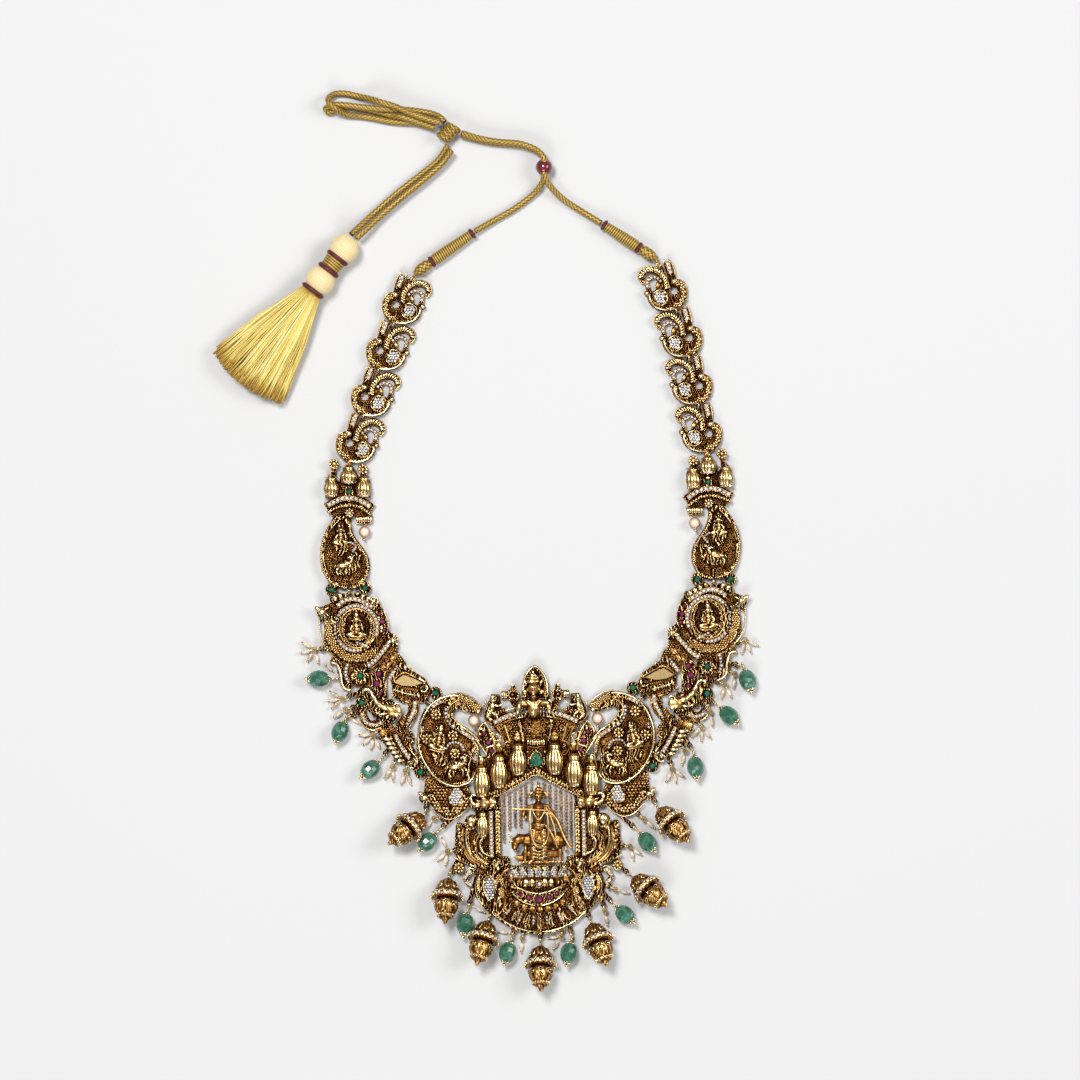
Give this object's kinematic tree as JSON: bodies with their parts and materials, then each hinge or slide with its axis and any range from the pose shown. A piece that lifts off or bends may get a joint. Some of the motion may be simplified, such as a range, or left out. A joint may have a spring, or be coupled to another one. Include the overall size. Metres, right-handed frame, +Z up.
{
  "type": "necklace",
  "caption": "South Asian temple jewellery necklace with a large pierced pendant, figured side plaques, peacock links, lantern and bead drops, and a tasselled cord.",
  "frame": {"origin": "on the floor under the middle of the jewelled part, without the cord and its tassel", "axes": "+Z up from the floor, +Y from the pendant towards the cord, +X to the viewer's right when the front is seen from above"},
  "size_m": [0.1818, 0.3002, 0.0107],
  "materials": {
    "gold": "antique gold with brown patina in the recesses",
    "seed_pearl": "small seed pearls on thread",
    "green_stone": "polished and translucent",
    "pearl": "pearly",
    "ruby": "cut and polished",
    "emerald": "cut and polished",
    "cord": "braided metallic thread",
    "maroon_bead": "glossy",
    "maroon_thread": "thread",
    "tassel": "silk strands"
  },
  "bodies": {
    "root": {"peacock_link_left_1": "gold", "peacock_link_left_2": "gold", "peacock_link_left_3": "gold", "peacock_link_left_4": "gold", "peacock_link_right_1": "gold", "peacock_link_right_2": "gold", "peacock_link_right_3": "gold", "peacock_link_right_4": "gold", "tower_mango_left": "gold", "tower_mango_right": "gold", "shoulder_plaque_left": "gold", "shoulder_plaque_right": "gold", "big_mango_left": "gold", "big_mango_right": "gold", "pendant_frame": "gold", "standing_figure": "gold", "curtain_strings": "seed_pearl", "lantern_drop_1": "gold", "lantern_drop_2": "gold", "lantern_drop_3": "gold", "lantern_drop_4": "gold", "lantern_drop_5": "gold", "lantern_drop_6": "gold", "lantern_drop_7": "gold", "green_bead_1": "green_stone", "green_bead_2": "green_stone", "green_bead_3": "green_stone", "green_bead_4": "green_stone", "green_bead_5": "green_stone", "green_bead_6": "green_stone", "green_bead_7": "green_stone", "green_bead_8": "green_stone", "green_bead_9": "green_stone", "green_bead_10": "green_stone", "green_bead_11": "green_stone", "green_bead_12": "green_stone", "rice_pearls_left": "pearl", "rice_pearls_right": "pearl", "pearl_pins": "gold", "beak_pearls": "pearl", "beak_pins": "gold", "rubies": "ruby", "emeralds": "emerald", "jump_rings": "gold", "cord_left": "cord", "cord_right": "cord", "bow_loop_1": "cord", "bow_loop_2": "cord", "tassel_cord_1": "cord", "tassel_cord_2": "cord", "slider_bead": "maroon_bead", "wrap_left": "cord", "wrap_right": "cord", "thread_bands": "maroon_thread", "bow_knot": "cord", "tassel_head": "tassel", "tassel_skirt": "tassel"}
  },
  "joints": []
}
